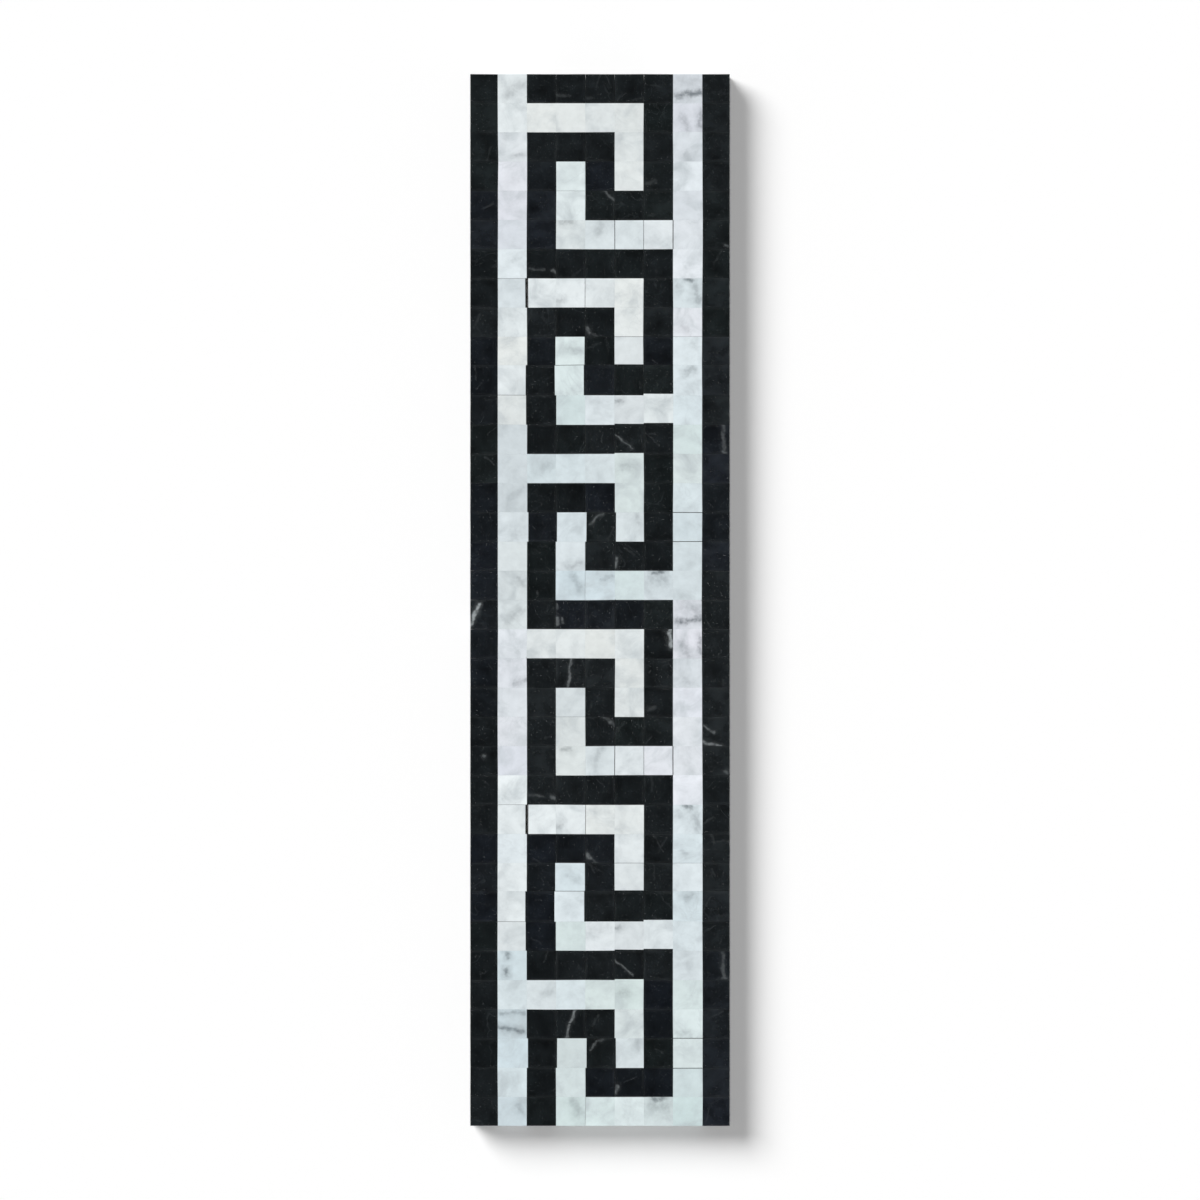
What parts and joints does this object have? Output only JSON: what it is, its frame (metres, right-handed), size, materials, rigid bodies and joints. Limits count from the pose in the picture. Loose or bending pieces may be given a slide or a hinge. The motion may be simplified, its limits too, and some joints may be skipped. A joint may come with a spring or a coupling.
{
  "type": "mosaic border tile",
  "caption": "Straight strip of small square black and white marble stones laid as a Greek key between plain lines, held on an open glass fibre mesh, for edging floors and walls.",
  "frame": {"origin": "middle of the mesh's underside, which is the face that is bedded", "axes": "+X across the strip, +Y along it, +Z out of its polished face"},
  "size_m": [0.0752, 0.3048, 0.0095],
  "materials": {
    "black_marble": "polished black marble with a few white veins",
    "white_marble": "polished white marble with soft grey clouds",
    "glass_fibre": "coated glass fibre net, with a trace of clear glue"
  },
  "bodies": {
    "root": {"left_black_line": "black_marble", "left_white_line": "white_marble", "right_white_line": "white_marble", "right_black_line": "black_marble", "black_bar_1": "black_marble", "white_left_hook_1": "white_marble", "black_left_hook_1": "black_marble", "black_right_hook_1": "black_marble", "white_right_hook_1": "white_marble", "black_bar_2": "black_marble", "white_left_hook_2": "white_marble", "black_left_hook_2": "black_marble", "black_right_hook_2": "black_marble", "white_right_hook_2": "white_marble", "black_bar_3": "black_marble", "white_left_hook_3": "white_marble", "black_left_hook_3": "black_marble", "black_right_hook_3": "black_marble", "white_right_hook_3": "white_marble", "black_bar_4": "black_marble", "white_left_hook_4": "white_marble", "black_left_hook_4": "black_marble", "black_right_hook_4": "black_marble", "white_right_hook_4": "white_marble", "black_bar_5": "black_marble", "white_left_hook_5": "white_marble", "black_left_hook_5": "black_marble", "black_right_hook_5": "black_marble", "white_right_hook_5": "white_marble", "black_bar_6": "black_marble", "white_left_hook_6": "white_marble", "black_left_hook_6": "black_marble", "black_right_hook_6": "black_marble", "white_right_hook_6": "white_marble", "mesh_long_threads": "glass_fibre", "mesh_cross_threads": "glass_fibre"}
  },
  "joints": []
}
